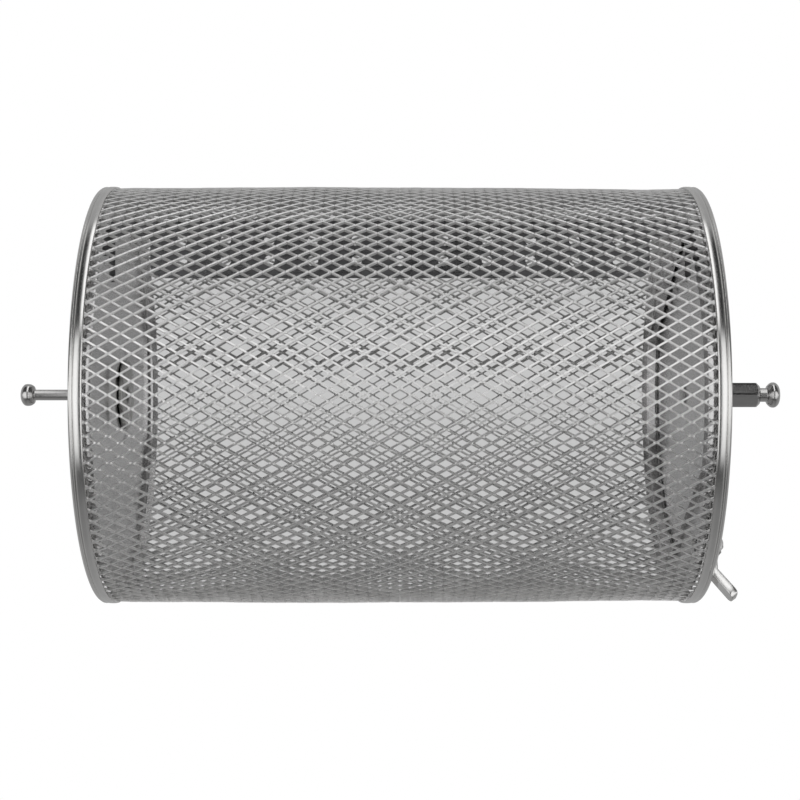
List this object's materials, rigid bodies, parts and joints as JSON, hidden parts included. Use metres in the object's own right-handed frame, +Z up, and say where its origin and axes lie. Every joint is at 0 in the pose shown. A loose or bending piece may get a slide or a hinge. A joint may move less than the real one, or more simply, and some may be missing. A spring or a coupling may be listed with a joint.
{
  "type": "rotisserie drum basket",
  "caption": "Round expanded-metal drum basket with a hinged latching end lid, an inner lifting vane and a driven axle through both ends.",
  "frame": {"origin": "on the drum's axis, midway between the two axle tips", "axes": "+X along the axle towards the lid and hex driver, +Z up"},
  "size_m": [0.22, 0.12, 0.12],
  "materials": {
    "expanded_mesh": "expanded stainless sheet, bright strands with a dull cut edge",
    "rim_band": "rolled stainless band, satin polished round the hoop",
    "end_plate": "stainless sheet, fine brushed",
    "vane_sheet": "stainless sheet, punched",
    "rivet_steel": "stainless, tumbled",
    "axle_steel": "turned stainless bar",
    "nut_steel": "stainless, machined",
    "spring_steel": "drawn stainless wire",
    "latch_steel": "pressed stainless, polished",
    "hinge_steel": "pressed stainless sheet"
  },
  "bodies": {
    "drum": {"mesh_sleeve": "expanded_mesh", "left_end_cap": "end_plate", "left_rim": "rim_band", "right_rim": "rim_band", "door_ring": "end_plate", "lifting_vane": "vane_sheet", "vane_rivet_left": "rivet_steel", "vane_rivet_right": "rivet_steel", "left_axle_pin": "axle_steel", "left_outer_nut": "nut_steel", "left_backing_disc": "nut_steel", "hinge_ring_leaf": "hinge_steel", "hinge_pin": "hinge_steel", "hinge_ring_rivet_1": "rivet_steel", "hinge_ring_rivet_2": "rivet_steel"},
    "lid": {"lid": "end_plate", "hinge_lid_leaf": "hinge_steel", "hinge_lid_rivet_1": "rivet_steel", "hinge_lid_rivet_2": "rivet_steel", "hex_driver": "axle_steel", "drive_stud": "axle_steel", "latch_bracket": "hinge_steel", "latch_rivet": "rivet_steel", "latch_pin": "hinge_steel", "latch_spring": "spring_steel"},
    "latch": {"latch_lever": "latch_steel"}
  },
  "joints": [
    {"name": "lid_swing", "type": "hinge", "parent": "drum", "child": "lid", "pos_m": [0.084, 0.02283, 0.04051], "axis": [0, -0.8712, 0.4909], "range_deg": [0, 110]},
    {"name": "latch_lift", "type": "hinge", "parent": "lid", "child": "latch", "pos_m": [0.0866, -0.02332, -0.04138], "axis": [0, -0.8712, 0.4909], "range_deg": [0, 20], "stiffness_Nm_per_rad": 0.004, "springref_deg": -11.46}
  ]
}
